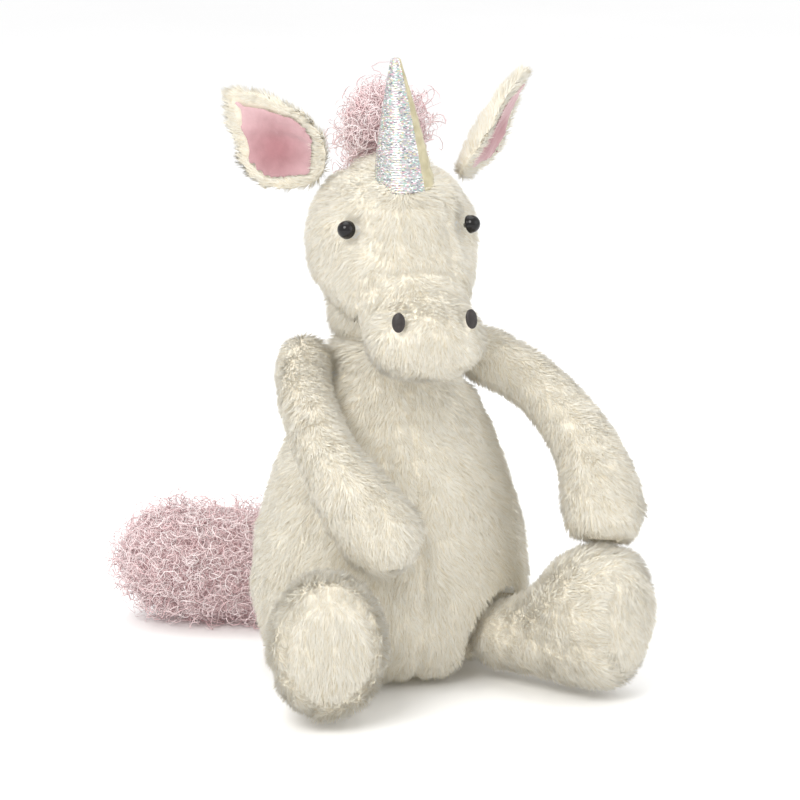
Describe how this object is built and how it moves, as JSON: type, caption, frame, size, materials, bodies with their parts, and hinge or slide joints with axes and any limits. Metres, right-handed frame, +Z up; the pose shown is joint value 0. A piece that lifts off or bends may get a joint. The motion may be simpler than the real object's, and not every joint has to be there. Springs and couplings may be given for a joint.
{
  "type": "plush unicorn",
  "caption": "Seated cream plush unicorn with floppy limbs, pink curly tail and forelock, pink-lined ears and a silver cloth horn.",
  "frame": {"origin": "middle of the flat underside that the toy sits on", "axes": "+Z up from the seat, the toy faces -Y, its own left side is +X"},
  "size_m": [0.1798, 0.2028, 0.2414],
  "materials": {
    "plush": "soft cream pile",
    "filling": "loose fibre",
    "beans": "woven pouch of pellets",
    "thread": "cotton thread",
    "label": "blank satin tape",
    "yarn": "curly loop yarn",
    "lurex": "iridescent metallic cloth",
    "eye": "polished",
    "washer": "moulded",
    "embroidery": "satin stitch",
    "rose": "short velour"
  },
  "bodies": {
    "torso": {"belly_panel_left": "plush", "belly_panel_right": "plush", "back_panel": "plush", "body_stuffing": "filling", "seat_bean_pouch": "beans", "care_label": "label"},
    "neck": {"neck_stuffing": "filling", "neck_stitching": "thread"},
    "head": {"head_side_left": "plush", "head_side_right": "plush", "forehead_gusset": "plush", "muzzle_panel": "plush", "head_stuffing": "filling", "eye_left": "eye", "eye_right": "eye", "eye_washer_left": "washer", "eye_washer_right": "washer", "nostril_left": "embroidery", "nostril_right": "embroidery", "forelock": "yarn", "mane": "yarn"},
    "horn": {"horn_cover": "lurex", "horn_stuffing": "filling"},
    "ear_left": {"ear_back_left": "plush", "ear_lining_left": "rose"},
    "ear_right": {"ear_back_right": "plush", "ear_lining_right": "rose"},
    "arm_left": {"arm_upper_panel_left": "plush", "arm_under_panel_left": "plush", "arm_stuffing_left": "filling", "paw_beans_left": "beans"},
    "arm_right": {"arm_upper_panel_right": "plush", "arm_under_panel_right": "plush", "arm_stuffing_right": "filling", "paw_beans_right": "beans"},
    "leg_left": {"leg_top_panel_left": "plush", "leg_under_panel_left": "plush", "foot_sole_left": "plush", "leg_stuffing_left": "filling", "foot_beans_left": "beans"},
    "leg_right": {"leg_top_panel_right": "plush", "leg_under_panel_right": "plush", "foot_sole_right": "plush", "leg_stuffing_right": "filling", "foot_beans_right": "beans"},
    "tail": {"tail_cover": "yarn", "tail_stuffing": "filling"}
  },
  "joints": [
    {"name": "head_turn", "type": "hinge", "parent": "torso", "child": "neck", "pos_m": [0, 0.002, 0.142], "axis": [0, 0, 1], "range_deg": [-25, 25], "stiffness_Nm_per_rad": 0.4},
    {"name": "head_nod", "type": "hinge", "parent": "neck", "child": "head", "pos_m": [0, 0.002, 0.142], "axis": [1, 0, 0], "range_deg": [-12, 12], "stiffness_Nm_per_rad": 1.2},
    {"name": "horn_lean", "type": "hinge", "parent": "head", "child": "horn", "pos_m": [0, -0.03, 0.1925], "axis": [1, 0, 0], "range_deg": [0, 10], "stiffness_Nm_per_rad": 0.02},
    {"name": "ear_fold_left", "type": "hinge", "parent": "head", "child": "ear_left", "pos_m": [0.028, 0.004, 0.194], "axis": [0, -1, 0], "range_deg": [-10, 20], "stiffness_Nm_per_rad": 0.04},
    {"name": "ear_fold_right", "type": "hinge", "parent": "head", "child": "ear_right", "pos_m": [-0.028, 0.004, 0.194], "axis": [0, 1, 0], "range_deg": [-10, 20], "stiffness_Nm_per_rad": 0.04},
    {"name": "arm_lift_left", "type": "hinge", "parent": "torso", "child": "arm_left", "pos_m": [0.035, 0, 0.124], "axis": [-0.6747, -0.6997, 0.2349], "range_deg": [0, 80]},
    {"name": "arm_lift_right", "type": "hinge", "parent": "torso", "child": "arm_right", "pos_m": [-0.035, 0, 0.124], "axis": [-0.9433, 0.104, -0.3151], "range_deg": [0, 90]},
    {"name": "leg_drop_left", "type": "hinge", "parent": "torso", "child": "leg_left", "pos_m": [0.037, -0.031, 0.018], "axis": [0.788, 0.6157, 0], "range_deg": [0, 75]},
    {"name": "leg_drop_right", "type": "hinge", "parent": "torso", "child": "leg_right", "pos_m": [-0.037, -0.031, 0.018], "axis": [0.9816, -0.1908, 0], "range_deg": [0, 75]},
    {"name": "tail_sway", "type": "hinge", "parent": "torso", "child": "tail", "pos_m": [0, 0.0565, 0.0245], "axis": [0, 0, -1], "range_deg": [0, 50]}
  ]
}
